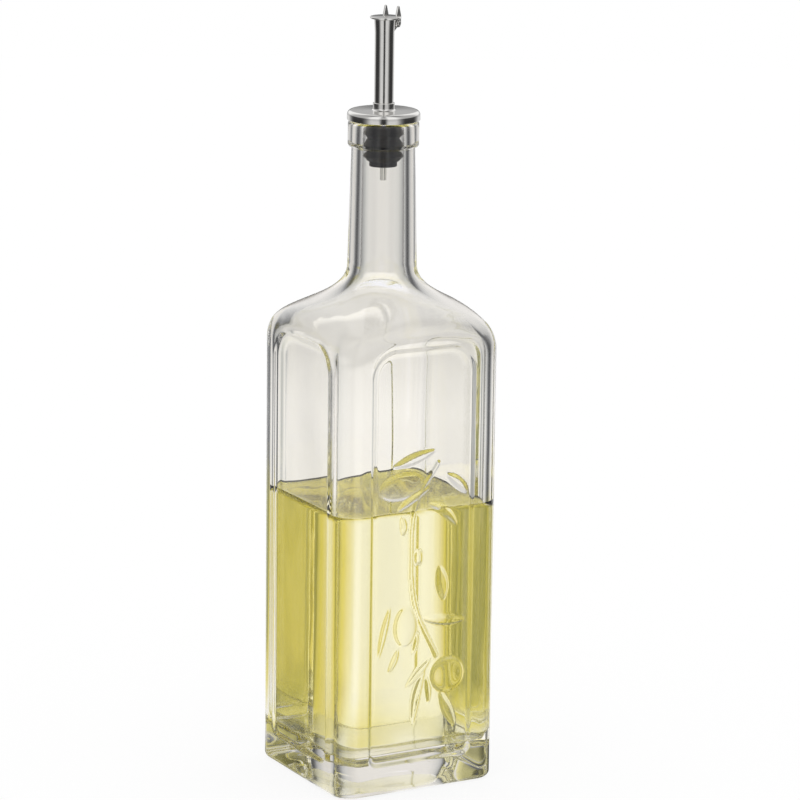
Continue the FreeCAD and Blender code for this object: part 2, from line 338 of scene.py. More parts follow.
# Glass bottle: outside, inside and the sprig on the front panel
bottleSizes = {
    "half": 40.0, "corner": 9.8, "heel": 2.5, "heelSteps": 8,
    "bearingRadius": 29.0, "bearingInset": 1.5, "puntDepth": 2.2, "puntRings": (0.02, 0.25, 0.5, 0.75, 0.92),
    "dome": [(54.0, 203.38), (41.5, 213.55), (15.31, 217.73), (15.31, 231.27)],  # radius and height
    "domeBlend": 10.7, "domeRows": 28, "domeSamples": 400, "domeTail": 4,
    "neckFoot": 232.0, "neckFootRadius": 15.3, "neckTopRadius": 13.9, "neckRound": 0.8,
    "lipFoot": 284.0, "lipTop": 295.2, "lipRadius": 15.6, "lipRounds": (1.0, 1.4),
    "mouthRadius": 9.25, "mouthRound": 1.0, "boreRadius": 9.6, "arcStep": 18.0,
    "panelHalf": 25.0, "panelFoot": 14.0, "panelTop": 200.7, "panelDepth": 1.2, "panelEdge": 2.0,
    "panelFootRound": 4.0, "panelTopRound": 12.0, "reliefFade": (0.2, 1.0),
    "frontSamples": 43, "archSamples": 10, "cornerSamples": 9, "sideMiddle": 7.0, "rimGap": 1.5,
    "rimSamples": (-0.9, -0.5, -0.1, 0.3, 0.7, 1.1, 2.8),
    "rowSteps": [(2.5, 12.5, 2.0), (12.5, 16.0, 0.4), (16.0, 28.0, 2.0), (28.0, 166.0, 0.67),
                 (166.0, 186.0, 2.5), (186.0, 203.0, 0.7)],  # from, to and step
}
insideSizes = {
    "half": 36.0, "corner": 7.5, "shift": (0.5, -0.3), "shiftFade": (228, 205),
    "heel": 6.0, "heelSteps": 9, "heelShare": 0.98, "heelFade": 20,
    "floor": 17.0, "floorRise": 1.2, "floorRings": (0.85, 0.65, 0.45, 0.25, 0.08, 0.01),
    "wall": 4.4, "neckWall": 5.4, "blend": 9.5, "domeTail": 50, "domeTop": 230.6, "domeRows": 26,
    "wallTop": 190.0, "wallRows": 14, "lowWall": 48.0, "lowRows": 10, "rowGap": 0.5,
    "bulge": 1.1, "bulgeEdge": 5.6,
    "waveDepth": 0.14, "waveFade": (190, 170), "waveSpan": 30.0, "waveTurn": 1.7,
    "broadWave": (2.1, 0.045), "fineWave": (4.7, 0.021), "fineShare": 0.6,
}
sprigSizes = {
    "height": 1.15, "leafCut": 1.3, "leafTaper": 0.85, "leafEdge": 0.8, "leafTip": 0.5, "cutLean": 0.3,
    "oliveRound": 0.45, "stemRadius": 0.95, "stemHeight": 0.85, "stemSteps": 24,
    "stem": [(8.5, 61.0), (-2.5, 84.0), (-5.0, 106.0), (-3.0, 131.0), (8.0, 149.0)],
    "leaves": [  # across, up, turn, length, width, bow
        (14.5, 35.5, 116.0, 18.0, 6.0, 1.0), (4.0, 45.5, 96.0, 13.0, 4.0, 0.0),
        (0.0, 43.0, 77.0, 27.0, 6.0, 2.5), (-0.5, 54.0, 44.0, 18.0, 5.0, 0.8),
        (-13.5, 61.0, 64.0, 12.0, 4.0, 0.0), (-2.5, 68.0, 77.0, 10.5, 3.0, 0.0),
        (-18.0, 74.5, 76.0, 25.0, 4.5, 1.0), (11.5, 77.5, -8.0, 24.0, 6.5, 0.5),
        (10.5, 94.0, 99.0, 16.0, 8.0, 0.8), (-9.5, 122.0, 95.0, 9.0, 4.5, 0.0),
        (11.0, 125.0, -39.0, 18.5, 5.5, 1.0), (-4.0, 133.5, 30.0, 18.5, 5.0, 1.5),
        (17.5, 138.5, -42.0, 15.0, 6.0, 0.0), (-3.5, 152.0, 16.0, 22.0, 6.5, 1.0),
    ],
    "olives": [  # across, up, turn, length, width
        (14.0, 51.5, 0.0, 17.0, 16.0), (-7.5, 76.0, 88.0, 18.0, 11.5),
        (-10.0, 140.0, 8.0, 22.5, 12.0), (-1.5, 107.0, 90.0, 6.5, 4.0),
    ],
}


def perimeter():
    b = bottleSizes
    flat = b["half"] - b["corner"]
    rim = b["panelHalf"] + np.array(b["rimSamples"])
    rimStart = b["panelHalf"] - b["rimGap"]
    front = np.concatenate([np.linspace(0, rimStart, b["frontSamples"]), rim, [flat]]) / flat
    arch = np.linspace(b["panelHalf"] - b["panelTopRound"], rimStart, b["archSamples"])
    side = np.concatenate([[0, b["sideMiddle"]], arch, rim, [flat]]) / flat
    front, side = (np.concatenate([-half[:0:-1], half]) for half in (front, side))
    turns = np.radians(np.linspace(0, 90, b["cornerSamples"] + 2)[1:-1])
    straight, outward, sideOf, place = [], [], [], []
    for index, normal in enumerate([(0, -1), (1, 0), (0, 1), (-1, 0)]):
        normal = np.array(normal, float)
        along = np.array([-normal[1], normal[0]])
        for share in (front if index == 0 else side):
            straight.append(normal + along * share)
            outward.append(normal)
            sideOf.append(index)
            place.append(share * flat)
        for turn in turns:
            straight.append(normal + along)
            outward.append(normal * math.cos(turn) + along * math.sin(turn))
            sideOf.append(-1)
            place.append(0.0)
    return np.array(straight), np.array(outward), np.array(sideOf), np.array(place)


straightPart, outwardPart, sideOf, place = perimeter()
sampleCount = len(place)
onSide = sideOf >= 0
sideNormals = np.where(onSide[:, None], outwardPart, 0.0)


def squareRing(half, corner):
    return straightPart * (half - corner) + outwardPart * corner


def withHeight(ring, height):
    return np.column_stack([ring, np.full(sampleCount, height)])


def domeCurve(t):
    p = np.array(bottleSizes["dome"])
    t = t[:, None]
    return ((1 - t) ** 3 * p[0] + 3 * (1 - t) ** 2 * t * p[1]
            + 3 * (1 - t) * t ** 2 * p[2] + t ** 3 * p[3])


def outerDome():
    b = bottleSizes
    first, second = np.array(b["dome"][:2])
    below = first - (second - first) * b["domeTail"]
    return np.vstack([below, domeCurve(np.linspace(0, 1, b["domeSamples"]))])


def innerDome():
    i = insideSizes
    t = np.linspace(0, 1, bottleSizes["domeSamples"])
    curve = domeCurve(t)
    slope = np.gradient(curve, axis=0)
    normal = np.stack([-slope[:, 1], slope[:, 0]], 1)
    normal /= np.linalg.norm(normal, axis=1)[:, None]
    depth = i["wall"] + (i["neckWall"] - i["wall"]) * t[:, None]
    moved = curve + normal * depth
    fall = moved[0] - moved[1]
    below = moved[0] + fall / np.linalg.norm(fall) * i["domeTail"]
    return np.vstack([below, moved])


def domeRadius(dome, height):
    return float(np.interp(height, dome[:, 1], dome[:, 0]))


def panelShare(height, edge):
    b = bottleSizes
    middle = (b["panelFoot"] + b["panelTop"]) / 2
    halfHeight = (b["panelTop"] - b["panelFoot"]) / 2
    corner = b["panelTopRound"] if height > middle else b["panelFootRound"]
    qx = np.abs(place) - (b["panelHalf"] - corner)
    qz = np.abs(height - middle) - (halfHeight - corner)
    outside = np.hypot(np.maximum(qx, 0), np.maximum(qz, 0)) + np.minimum(np.maximum(qx, qz), 0) - corner
    return 1 - smoothStep(-edge / 2, edge / 2, outside)


def curveThrough(points, steps):
    points = np.array(points, float)
    padded = np.vstack([2 * points[0] - points[1], points, 2 * points[-1] - points[-2]])
    line = []
    for k in range(len(points) - 1):
        a, b, c, d = padded[k:k + 4]
        for t in np.linspace(0, 1, steps, endpoint=False):
            line.append(0.5 * (2 * b + (c - a) * t + (2 * a - 5 * b + 4 * c - d) * t * t
                               + (3 * b - a - 3 * c + d) * t ** 3))
    line.append(points[-1])
    return np.array(line)


stemLine = curveThrough(sprigSizes["stem"], sprigSizes["stemSteps"])


def sprigHeight(height):
    s = sprigSizes
    near = np.min([np.hypot(place - x, height - z) for x, z in stemLine], axis=0)
    total = s["stemHeight"] * s["height"] * np.sqrt(np.clip(1 - (near / s["stemRadius"]) ** 2, 0, 1))
    for x, z, turn, length, width, bow in s["leaves"]:
        c, n = math.cos(math.radians(turn)), math.sin(math.radians(turn))
        along = ((place - x) * c + (height - z) * n) / (length / 2)
        aside = (height - z) * c - (place - x) * n
        aside = aside - bow * (1 - along ** 2)
        half = width / 2 * np.clip(1 - along ** 2, 0, 1) ** s["leafTaper"]
        inside = half - np.abs(aside)
        cutSide = 1 if n + s["cutLean"] * c > 0 else -1
        left = aside * cutSide / np.maximum(half, 0.01)
        facet = s["height"] - (s["height"] + s["leafCut"]) * np.clip(left, 0, 1)
        tip = np.clip(2 * half / width, 0, 1) ** s["leafTip"]
        field = facet * smoothStep(0.0, s["leafEdge"], inside) * tip
        total = np.where((field < 0) & (total <= 0), np.minimum(total, field), np.maximum(total, field))
    for x, z, turn, length, width in s["olives"]:
        c, n = math.cos(math.radians(turn)), math.sin(math.radians(turn))
        along = ((place - x) * c + (height - z) * n) / (length / 2)
        aside = ((height - z) * c - (place - x) * n) / (width / 2)
        crown = np.clip(1 - along ** 2 - aside ** 2, 0, 1) ** s["oliveRound"]
        total = np.maximum(total, s["height"] * crown)
    return total


def outerRows():
    b = bottleSizes
    rows = []
    base = squareRing(b["half"], b["corner"])
    reach = np.linalg.norm(base, axis=1)
    unit = base / reach[:, None]
    for share in b["puntRings"]:
        rows.append(withHeight(unit * b["bearingRadius"] * share, b["puntDepth"] * (1 - share ** 2)))
    rows.append(withHeight(unit * b["bearingRadius"], 0.0))
    inset = b["heel"] + b["bearingInset"]
    rows.append(withHeight(squareRing(b["half"] - inset, b["corner"] - inset), 0.0))
    for turn in np.radians(np.linspace(0, 90, b["heelSteps"])):
        inset = b["heel"] * (1 - math.sin(turn))
        ring = squareRing(b["half"] - inset, b["corner"] - inset)
        rows.append(withHeight(ring, b["heel"] * (1 - math.cos(turn))))
    bodyHeights = np.concatenate([np.arange(low, high, step) for low, high, step in b["rowSteps"]])[1:]
    domeHeights = domeCurve(np.linspace(0, 1, b["domeRows"])[1:])[:, 1]
    dome = outerDome()
    for height in np.concatenate([bodyHeights, domeHeights]):
        radius = smoothMin(reach, domeRadius(dome, height), b["domeBlend"])
        ring = unit * radius[:, None]
        depth = b["panelDepth"] * panelShare(height, b["panelEdge"]) * onSide
        raised = sprigHeight(height) * (sideOf == 0)
        depth = np.maximum(depth - raised * smoothStep(*b["reliefFade"], depth), 0.0)
        rows.append(withHeight(ring - sideNormals * depth[:, None], height))
    finish = roundedLine([
        (b["neckFootRadius"], b["neckFoot"], 0), (b["neckTopRadius"], b["lipFoot"], b["neckRound"]),
        (b["lipRadius"], b["lipFoot"], b["lipRounds"][0]), (b["lipRadius"], b["lipTop"], b["lipRounds"][1]),
        (b["mouthRadius"], b["lipTop"], b["mouthRound"]), (b["boreRadius"], b["neckFoot"], 0),
    ], False, b["arcStep"])
    for radius, height in finish:
        rows.append(withHeight(unit * radius, height))
    return rows


def innerWave(height):
    i = insideSizes
    u = place / i["waveSpan"]
    phase = sideOf * i["waveTurn"]
    broad, fine = i["broadWave"], i["fineWave"]
    wave = np.sin(u * broad[0] + phase + height * broad[1])
    wave = wave + i["fineShare"] * np.sin(u * fine[0] - phase * 2 + height * fine[1])
    bulge = i["bulge"] * panelShare(height, i["bulgeEdge"])
    return (i["waveDepth"] * wave * (1 - u ** 2) * smoothStep(*i["waveFade"], height) - bulge) * onSide


def innerRows(grow=0.0, top=None):  # the oil takes the same walls, a little larger and up to its own level
    i = insideSizes
    rows = []
    shift = np.array([*i["shift"], 0.0])
    half = i["half"] + grow
    corner = i["corner"] + grow
    heel = i["heel"] + grow
    floor = i["floor"] - grow
    heelTop = floor + heel
    base = squareRing(half, corner)
    reach = np.linalg.norm(base, axis=1)
    unit = base / reach[:, None]
    heights = np.concatenate([np.linspace(i["wallTop"], i["lowWall"], i["wallRows"]),
                              np.linspace(i["lowWall"], heelTop, i["lowRows"])[1:]])
    if top is None:
        dome = innerDome()
        for height in np.linspace(i["domeTop"], i["wallTop"], i["domeRows"])[:-1]:
            radius = smoothMin(reach, domeRadius(dome, height), i["blend"])
            ring = unit * radius[:, None] + sideNormals * innerWave(height)[:, None]
            rows.append(withHeight(ring, height) + shift * smoothStep(*i["shiftFade"], height))
    else:
        heights = np.concatenate([[top], heights[heights < top - i["rowGap"]]])
    for height in heights:
        fade = smoothStep(heelTop, heelTop + i["heelFade"], height)
        rows.append(withHeight(base + sideNormals * (innerWave(height) * fade)[:, None], height) + shift)
    for turn in np.radians(np.linspace(0, 90, i["heelSteps"])[1:]):
        inset = heel * (1 - math.cos(turn)) * i["heelShare"]
        ring = squareRing(half - inset, corner - inset)
        rows.append(withHeight(ring, floor + heel * (1 - math.sin(turn))) + shift)
    inset = heel * i["heelShare"]
    edge = squareRing(half - inset, corner - inset)
    for share in i["floorRings"]:
        rows.append(withHeight(edge * share, floor + i["floorRise"] * (1 - share ** 2) ** 2) + shift)
    return rows


def closedGrid(rows):
    return np.concatenate(rows), gridFaces(len(rows), sampleCount, False)


points, faces = closedGrid(outerRows() + innerRows())
addPiece("bottleGlass", points, faces, clearGlass, "bottle", "bottle")

# Oil, a hair into the glass so that no air shows between them
oilSizes = {"level": 127.5, "overlap": 0.03, "meniscus": 0.3, "meniscusReach": 0.8,
            "rings": (0.01, 0.25, 0.5, 0.7, 0.82, 0.88, 0.92, 0.945, 0.965, 0.98, 0.99, 0.997)}


def oilRows():
    o = oilSizes
    walls = innerRows(o["overlap"], o["level"] + o["meniscus"] / 2)
    edge = walls[0][:, :2]
    middle = np.array(insideSizes["shift"])
    rows = []
    for share in o["rings"]:
        inset = (1 - share) * insideSizes["half"]
        rise = o["meniscus"] * math.exp(-inset / o["meniscusReach"])
        rows.append(withHeight(middle + (edge - middle) * share, o["level"] - o["meniscus"] / 2 + rise))
    return (rows + walls)[::-1]


points, faces = closedGrid(oilRows())
addPiece("oilFill", points, faces, oliveOil, "bottle", "oil")

# Pourer: stopper, disc, tubes
stopperSizes = {"rib": 9.05, "core": 6.9, "bore": 4.28, "flange": 13.2, "lip": 295.2, "flangeTop": 298.8,
                "firstTip": 290.1, "pitch": 4.9, "ribs": 3, "nub": 6.1, "nubTop": 277.85, "foot": 275.45,
                "flangeRound": 0.5, "seatRound": 0.4, "valleyRound": 0.3, "fineRound": 0.2,
                "arcStep": 18.0, "sides": 96}


def stopperProfile():
    s = stopperSizes
    valley, fine = s["valleyRound"], s["fineRound"]
    corners = [(s["bore"], s["flangeTop"], 0), (s["flange"], s["flangeTop"], s["flangeRound"]),
               (s["flange"], s["lip"], valley), (s["core"], s["lip"], s["seatRound"])]
    for index in range(s["ribs"]):
        tip = s["firstTip"] - s["pitch"] * index
        corners += [(s["core"], tip + s["pitch"] / 2, valley), (s["rib"], tip, fine)]
    corners += [(s["core"], s["nubTop"], fine), (s["nub"], s["nubTop"], fine),
                (s["nub"], s["foot"], s["seatRound"]), (s["bore"], s["foot"], fine)]
    return roundedLine(corners, True, s["arcStep"])


points, faces = lathe(stopperProfile(), stopperSizes["sides"], True)
addPiece("stopperRubber", points, faces, blackRubber, "pourer", "stopper", turnedSharp)

coverSizes = {"outside": 16.0, "sheet": 1.0, "edge": 2.0, "hole": 4.28, "collar": 4.78, "skirt": 295.5,
              "under": 298.8, "top": 299.8, "collarTop": 303.0, "collarRounds": (0.15, 0.2),
              "collarFoot": 0.9, "skirtRound": 0.3, "holeRound": 0.1, "arcStep": 9.0, "sides": 128}


def coverProfile():
    c = coverSizes
    inside = c["outside"] - c["sheet"]
    return roundedLine([
        (c["hole"], c["collarTop"], c["collarRounds"][0]),
        (c["collar"], c["collarTop"], c["collarRounds"][1]),
        (c["collar"], c["top"], c["collarFoot"]), (c["outside"], c["top"], c["edge"]),
        (c["outside"], c["skirt"], c["skirtRound"]), (inside, c["skirt"], c["skirtRound"]),
        (inside, c["under"], c["edge"] - c["sheet"]), (c["hole"], c["under"], c["holeRound"]),
    ], True, c["arcStep"])


points, faces = lathe(coverProfile(), coverSizes["sides"], True)
addPiece("coverDisc", points, faces, polishedSteel, "pourer", "cover_disc", turnedSharp)

tubeSizes = {"radius": 4.25, "mouth": 4.6, "wall": 0.5, "foot": 275.45, "flareFoot": 333.8, "top": 339.8,
             "flareSteps": 9, "mouthRound": 0.12, "footRound": 0.1, "arcStep": 30.0, "sides": 96}


def flareRadius(share):
    return tubeSizes["radius"] + (tubeSizes["mouth"] - tubeSizes["radius"]) * share


def tubeProfile():
    t = tubeSizes
    outer = []
    inner = []
    for share in np.linspace(0, 1, t["flareSteps"]):
        height = t["flareFoot"] + (t["top"] - t["flareFoot"]) * share
        edge = t["mouthRound"] if share == 1 else 0
        outer.append((flareRadius(share), height, edge))
        inner.append((flareRadius(share) - t["wall"], height, edge))
    outerFoot = (t["radius"], t["foot"], t["footRound"])
    innerFoot = (t["radius"] - t["wall"], t["foot"], t["footRound"])
    return roundedLine([outerFoot] + outer + inner[::-1] + [innerFoot], True, t["arcStep"])


points, faces = lathe(tubeProfile(), tubeSizes["sides"], True)
addPiece("pourTube", points, faces, polishedSteel, "pourer", "pour_tube", turnedSharp)

airSizes = {"radius": 1.4, "wall": 0.4, "foot": 268.85, "top": 327.8, "offset": 2.25, "azimuth": 60.0,
            "edgeRound": 0.08, "arcStep": 30.0, "sides": 40}


def airTube():
    a = airSizes
    inside = a["radius"] - a["wall"]
    ends = [(a["radius"], a["foot"]), (a["radius"], a["top"]), (inside, a["top"]), (inside, a["foot"])]
    profile = roundedLine([(*end, a["edgeRound"]) for end in ends], True, a["arcStep"])
    points, faces = lathe(profile, a["sides"], True)
    turn = math.radians(a["azimuth"])
    return points + np.array([a["offset"] * math.cos(turn), a["offset"] * math.sin(turn), 0]), faces


points, faces = airTube()
addPiece("airTube", points, faces, polishedSteel, "pourer", "air_tube", turnedSharp)

# Hinge and flap, built along +X and turned to the hinge's side
hingeSizes = {
    "azimuth": 30.0, "pinReach": 5.9, "pinHeight": 337.4, "pinRadius": 0.7, "pinSides": 40, "pinArc": 18.0,
    "head": 0.5, "headRadius": 1.1, "headRound": 0.3, "axisHole": 0.02,
    "lugWidth": 5.4, "lugRound": 1.3, "lugDrop": 3.6, "lugStart": 3.0, "lugCorner": 1.2, "lugSink": 0.05,
    "lugEdges": (0.2, 0.5), "lugSlices": 9, "lugArc": 15.0,
    "earThickness": 0.8, "earGap": 0.1, "earLobe": 1.9, "earBevel": 0.15, "earShoulder": 1.0, "earArc": 10.0,
    "lobeShare": 0.92, "tipWidth": 0.7, "tipHeight": 4.2, "tipRound": 0.2, "holeRadius": 0.76,
    "flapRadius": 6.8, "flapThickness": 0.9, "flapOffset": 0.75, "flapRounds": (0.25, 0.4), "flapSides": 96,
    "flapArc": 18.0, "tubeTop": 339.8,
}


def turnToHinge(points):
    turn = math.radians(hingeSizes["azimuth"])
    spin = np.array([[math.cos(turn), -math.sin(turn), 0], [math.sin(turn), math.cos(turn), 0], [0, 0, 1]])
    return points @ spin.T


def hingeLug():
    h = hingeSizes
    t = tubeSizes
    nose = h["pinReach"] + h["lugRound"]
    top = h["pinHeight"] + h["lugRound"]
    outline = roundedLine([
        (h["lugStart"], top, 0), (nose, top, h["lugCorner"]),
        (nose, h["pinHeight"] - h["lugRound"], h["lugCorner"]),
        (h["lugStart"], h["pinHeight"] - h["lugDrop"], 0),
    ], True, h["lugArc"])
    half = h["lugWidth"] / 2
    edge, start = h["lugEdges"]
    slices = np.linspace(-half + start, half - start, h["lugSlices"])
    rings = []
    for y in np.concatenate([[-half, -half + edge], slices, [half - edge, half]]):
        ring = np.column_stack([outline[:, 0], np.full(len(outline), y), outline[:, 1]])
        wall = flareRadius(np.clip((ring[:, 2] - t["flareFoot"]) / (t["top"] - t["flareFoot"]), 0, 1))
        back = np.sqrt(wall ** 2 - y ** 2) - h["lugSink"]
        ring[:, 0] = np.where(outline[:, 0] <= h["lugStart"], back, ring[:, 0])
        rings.append(ring)
    return turnToHinge(np.concatenate(rings)), gridFaces(len(rings), len(outline), False)


points, faces = hingeLug()
addPiece("hingeLug", points, faces, polishedSteel, "pourer", "hinge_lug", hingeSharp)


def hingePin():
    h = hingeSizes
    half = h["lugWidth"] / 2 + 2 * h["earGap"] + h["earThickness"]
    end = half + h["head"]
    profile = roundedLine([
        (h["axisHole"], -end, 0), (h["headRadius"], -end, h["headRound"]), (h["headRadius"], -half, 0),
        (h["pinRadius"], -half, 0), (h["pinRadius"], half, 0), (h["headRadius"], half, 0),
        (h["headRadius"], end, h["headRound"]), (h["axisHole"], end, 0),
    ], False, h["pinArc"])
    points, faces = lathe(profile, h["pinSides"], False)
    turned = np.column_stack([points[:, 0] + h["pinReach"], points[:, 2], -points[:, 1] + h["pinHeight"]])
    return turnToHinge(turned), faces


points, faces = hingePin()
addPiece("hingePin", points, faces, polishedSteel, "pourer", "hinge_pin", hingeSharp)


def earOutline():
    h = hingeSizes
    lidTop = h["tubeTop"] + h["flapThickness"]
    reach, lobe = h["pinReach"], h["earLobe"]
    foot = h["pinHeight"] - lobe
    tip = lidTop + h["tipHeight"]
    halfTip = h["tipWidth"] / 2
    lobeRound = lobe * h["lobeShare"]
    return roundedLine([
        (reach - lobe, foot, lobeRound), (reach + lobe, foot, lobeRound),
        (reach + lobe, lidTop, h["earShoulder"]), (reach + halfTip, tip, h["tipRound"]),
        (reach - halfTip, tip, h["tipRound"]), (reach - lobe, lidTop, h["earShoulder"]),
    ], True, h["earArc"])


def flapEar(side):
    h = hingeSizes
    outline = earOutline()
    centre = np.array([h["pinReach"], h["pinHeight"]])
    arms = outline - centre
    lengths = np.linalg.norm(arms, axis=1)
    unit = arms / lengths[:, None]
    inner = h["lugWidth"] / 2 + h["earGap"]
    outer = inner + h["earThickness"]
    bevel = h["earBevel"]
    stations = [(None, inner), (bevel, inner), (0.0, inner + bevel),
                (0.0, outer - bevel), (bevel, outer), (None, outer)]  # inset from the outline, or the hole
    rings = []
    for inset, depth in stations:
        flat = centre + unit * (h["holeRadius"] if inset is None else (lengths - inset)[:, None])
        rings.append(np.column_stack([flat[:, 0], np.full(len(flat), depth * side), flat[:, 1]]))
    return np.concatenate(rings), gridFaces(len(rings), len(outline), True)


def flapLid():
    h = hingeSizes
    under = h["tubeTop"]
    top = under + h["flapThickness"]
    profile = roundedLine([
        (h["axisHole"], under, 0), (h["flapRadius"], under, h["flapRounds"][0]),
        (h["flapRadius"], top, h["flapRounds"][1]), (h["axisHole"], top, 0),
    ], False, h["flapArc"])
    points, faces = lathe(profile, h["flapSides"], False)
    points = points + np.array([h["flapOffset"], 0, 0])
    for side in (-1, 1):
        earPoints, earFaces = flapEar(side)
        start = len(points)
        points = np.vstack([points, earPoints])
        faces = faces + [tuple(index + start for index in face) for face in earFaces]
    return turnToHinge(points), faces


points, faces = flapLid()
addPiece("flapLid", points, faces, polishedSteel, "flap", "flap_lid", hingeSharp)

# Surround of floor and world, by compass angle, all painted light and shade: painted dark and bright bands
# that show through empty glass (far), painted golden light and olive shade that show through the oil (near),
# painted reflection strips that the steel mirrors (glint), and a painted golden glow band (gold)
surroundLook = {
    "axis": -118.64, "folds": 4.0, "glintStart": (0.08, 0.3), "glintEnd": (0.6, 0.97),
    "far": [(0.0, (0.10, 0.10, 0.105)), (0.12, (0.26, 0.26, 0.265)), (0.3, (0.58, 0.57, 0.56)),
            (0.55, (0.78, 0.76, 0.73)), (1.0, (1.04, 0.985, 0.93))],
    "near": [(0.0, (0.27, 0.26, 0.06)), (0.04, (0.29, 0.27, 0.06)), (0.09, (0.40, 0.36, 0.06)),
             (0.13, (0.54, 0.47, 0.10)), (0.16, (0.62, 0.54, 0.16)), (0.24, (0.70, 0.61, 0.16)),
             (0.35, (0.75, 0.65, 0.14)), (0.5, (0.80, 0.70, 0.28)), (0.7, (0.87, 0.78, 0.52)),
             (0.9, (0.98, 0.93, 0.84)), (1.0, (1.06, 1.04, 1.2))],
    "sideDip": 0.92, "sidePower": 4.0, "frontGain": 0.25,
    "goldGlowAxis": 57.3, "goldGlowReach": (0.92, 0.99), "goldGlowBack": 0.8,
}


def makeSurround():
    group, source, sink = newGroup(
        "surround",
        [("Vector", "NodeSocketVector", (0, 0, 0))],
        [("Far", "NodeSocketColor"), ("Near", "NodeSocketColor"), ("Glint", "NodeSocketFloat"),
         ("GoldGlow", "NodeSocketFloat")],
    )
    s = surroundLook
    parts = group.nodes.new("ShaderNodeSeparateXYZ")
    group.links.new(source.outputs["Vector"], parts.inputs[0])
    azimuth = mathNode(group, "ARCTAN2", parts.outputs["Y"], parts.outputs["X"])
    fromAxis = mathNode(group, "SUBTRACT", azimuth, math.radians(s["axis"]))
    folded = mathNode(group, "COSINE", mathNode(group, "MULTIPLY", fromAxis, s["folds"]))
    level = mapRange(group, folded, -1.0, 1.0, 0.0, 1.0, smooth=False)
    # painted dark and bright bands by compass angle, shown through empty glass
    group.links.new(colorRamp(group, level, s["far"]), sink.inputs["Far"])
    # painted golden light and olive shade for what is seen through the oil, dimmed to the sides and
    # brightened to the front
    side = mathNode(group, "ABSOLUTE", mathNode(group, "SINE", fromAxis))
    dip = mathNode(group, "MULTIPLY", mathNode(group, "POWER", side, s["sidePower"]), s["sideDip"])
    nearLevel = mathNode(group, "MULTIPLY", level, mathNode(group, "SUBTRACT", 1.0, dip))
    front = mathNode(group, "MAXIMUM", mathNode(group, "COSINE", fromAxis), 0.0)
    gain = mathNode(group, "ADD", mathNode(group, "MULTIPLY", front, s["frontGain"]), 1.0)
    brighter = vectorNode(group, "SCALE", colorRamp(group, nearLevel, s["near"]), scale=gain)
    group.links.new(brighter, sink.inputs["Near"])
    # painted reflection strips for the steel to mirror
    start = mapRange(group, side, *s["glintStart"], 0.0, 1.0)
    end = mapRange(group, side, *s["glintEnd"], 1.0, 0.0)
    group.links.new(mathNode(group, "MULTIPLY", start, end), sink.inputs["Glint"])
    # painted golden glow band, ahead of and behind its axis
    fromGoldGlow = mathNode(group, "COSINE", mathNode(group, "SUBTRACT", fromAxis, math.radians(s["goldGlowAxis"])))
    opposite = mathNode(group, "MULTIPLY", fromGoldGlow, -1.0)
    ahead = mapRange(group, fromGoldGlow, *s["goldGlowReach"], 0.0, 1.0)
    behind = mapRange(group, opposite, *s["goldGlowReach"], 0.0, s["goldGlowBack"])
    group.links.new(mathNode(group, "ADD", ahead, behind), sink.inputs["GoldGlow"])
    return group


surround = makeSurround()

# Floor: white with a faint shadow to the camera; to what looks through the glass or mirrors it, the floor
# glows with the surround's painted light and shade, a painted golden glow near the base and a painted
# dimming further out.
# clearWalls tells empty glass, which a ray crosses in 3 to 5 walls, from the base (fewer) and the oil (more)
floorLook = {"radius": 2.2, "sides": 96, "drop": 0.0004, "color": (0.86, 0.86, 0.86, 1), "glow": 0.86,
             "strength": 1.025, "nearEnd": (0.42, 0.56), "clearWalls": (2.5, 5.5), "fall": (0.68, 0.98),
             "fallTo": 0.76, "foot": (0.06, 0.14), "footGlowTo": 1.12, "footGlowColor": (0.74, 0.68, 0.25, 1),
             "footGlowMix": 0.4, "glint": 1.0, "least": 0.06}


